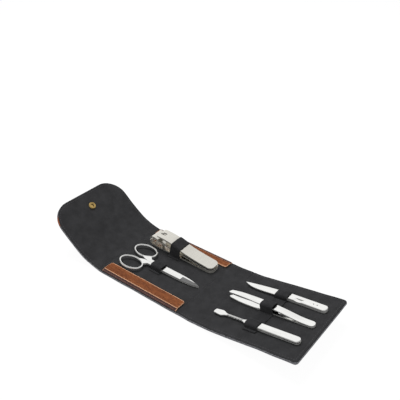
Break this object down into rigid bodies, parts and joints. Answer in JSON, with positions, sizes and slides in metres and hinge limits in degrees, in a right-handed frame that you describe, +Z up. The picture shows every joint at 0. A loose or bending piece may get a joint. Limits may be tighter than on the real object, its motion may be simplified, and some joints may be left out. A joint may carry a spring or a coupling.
{
  "type": "manicure set case",
  "caption": "Wrap-style leather manicure case, open, with nail clipper, scissors, cuticle knife, tweezers and pusher held by straps; flap shuts with a press stud.",
  "frame": {"origin": "middle of the back panel's underside, on the surface that the open case lies on", "axes": "+X along the case towards the free end of the front panel, +Y across it towards the nail clipper, +Z up"},
  "size_m": [0.2894, 0.09, 0.044],
  "materials": {
    "outer_leather": "embossed grain",
    "suede_lining": "suede",
    "strap_leather": "suede",
    "brown_leather": "smooth, with pale cut edges",
    "stiffening_board": "bare fibreboard",
    "brass": "polished",
    "polished_steel": "polished"
  },
  "bodies": {
    "back": {"back_leather": "outer_leather", "back_board": "stiffening_board", "back_lining": "suede_lining", "gusset_near_flange": "brown_leather", "gusset_far_flange": "brown_leather", "scissors_strap": "strap_leather", "clipper_strap": "strap_leather"},
    "lower_spine": {"lower_spine_leather": "outer_leather", "lower_spine_lining": "suede_lining"},
    "front_panel": {"front_leather": "outer_leather", "front_board": "stiffening_board", "front_lining": "suede_lining", "front_strap": "strap_leather", "snap_stud": "brass", "snap_rivet": "brass"},
    "upper_spine": {"upper_spine_leather": "outer_leather", "upper_spine_lining": "suede_lining"},
    "flap": {"flap_leather": "outer_leather", "flap_lining": "suede_lining", "snap_cap": "brass", "snap_socket": "brass"},
    "near_gusset": {"gusset_near": "brown_leather"},
    "far_gusset": {"gusset_far": "brown_leather"},
    "clipper": {"clipper_lower_arm": "polished_steel", "clipper_rivet": "polished_steel"},
    "clipper_jaw": {"clipper_upper_arm": "polished_steel"},
    "clipper_pin_body": {"clipper_pin": "polished_steel"},
    "clipper_lever_body": {"clipper_lever": "polished_steel"},
    "scissors": {"scissors_lower_half": "polished_steel", "scissors_screw": "polished_steel"},
    "scissors_half": {"scissors_upper_half": "polished_steel"},
    "tweezers": {"tweezers_lower_arm": "polished_steel"},
    "tweezers_arm": {"tweezers_upper_arm": "polished_steel"},
    "knife": {"knife_blade": "polished_steel", "knife_handle": "polished_steel", "knife_rivets": "polished_steel"},
    "pusher": {"pusher_shaft": "polished_steel", "pusher_handle_top": "polished_steel", "pusher_handle_bottom": "polished_steel"}
  },
  "joints": [
    {"name": "lower_back_fold", "type": "hinge", "parent": "back", "child": "lower_spine", "pos_m": [0.0495, 0, 0.0015], "axis": [0, -1, 0], "range_deg": [0, 90]},
    {"name": "lower_front_fold", "type": "hinge", "parent": "lower_spine", "child": "front_panel", "pos_m": [0.0745, 0, 0.0015], "axis": [0, -1, 0], "range_deg": [-8.2, 79.55]},
    {"name": "upper_back_fold", "type": "hinge", "parent": "back", "child": "upper_spine", "pos_m": [-0.0495, 0, 0.0015], "axis": [0, 1, 0], "range_deg": [0, 70.45]},
    {"name": "flap_fold", "type": "hinge", "parent": "upper_spine", "child": "flap", "pos_m": [-0.07815, 0, 0.01167], "axis": [0, 1, 0], "range_deg": [-48, 70.45]},
    {"name": "near_gusset_fold", "type": "hinge", "parent": "back", "child": "near_gusset", "pos_m": [0, -0.04145, 0.00325], "axis": [1, 0, 0], "range_deg": [0, 90]},
    {"name": "far_gusset_fold", "type": "hinge", "parent": "back", "child": "far_gusset", "pos_m": [0, 0.04145, 0.00325], "axis": [-1, 0, 0], "range_deg": [0, 90]},
    {"name": "clipper_slide", "type": "slide", "parent": "back", "child": "clipper", "axis": [1, 0, 0], "range_m": [-0.017, 0]},
    {"name": "clipper_jaw_press", "type": "hinge", "parent": "clipper", "child": "clipper_jaw", "pos_m": [0.036, 0.0241, 0.00435], "axis": [0, 1, 0], "range_deg": [-0.95, 0], "stiffness_Nm_per_rad": 3, "springref_deg": 0.23},
    {"name": "clipper_pin_turn", "type": "hinge", "parent": "clipper", "child": "clipper_pin_body", "pos_m": [-0.0255, 0.0241, 0.0104], "axis": [0, 0, -1], "range_deg": [-138, 0]},
    {"name": "clipper_lever_lift", "type": "hinge", "parent": "clipper_pin_body", "child": "clipper_lever_body", "pos_m": [-0.0272, 0.0241, 0.0175], "axis": [0, 1, 0], "range_deg": [-95, 0], "deforming": ["clipper_strap"]},
    {"name": "scissors_slide", "type": "slide", "parent": "back", "child": "scissors", "axis": [0.9996, 0.0209, -0.0192], "range_m": [-0.012, 0]},
    {"name": "scissors_pivot", "type": "hinge", "parent": "scissors", "child": "scissors_half", "pos_m": [-0.0033, -0.0076, 0.00365], "axis": [-0.0192, 0, -0.9998], "range_deg": [-25, 0], "deforming": ["scissors_strap"]},
    {"name": "tweezers_slide", "type": "slide", "parent": "front_panel", "child": "tweezers", "axis": [-0.9831, 0.0262, -0.1813], "range_m": [-0.05, 0]},
    {"name": "tweezers_squeeze", "type": "hinge", "parent": "tweezers", "child": "tweezers_arm", "pos_m": [0.15222, 0, 0.01838], "axis": [0.0257, 0.9997, 0.0047], "range_deg": [-2.6, 0], "stiffness_Nm_per_rad": 0.35, "springref_deg": 1.15},
    {"name": "knife_slide", "type": "slide", "parent": "front_panel", "child": "knife", "axis": [-0.982, 0.0541, -0.1811], "range_m": [-0.05, 0]},
    {"name": "pusher_slide", "type": "slide", "parent": "front_panel", "child": "pusher", "axis": [-0.9833, 0.0122, -0.1814], "range_m": [-0.05, 0]}
  ]
}
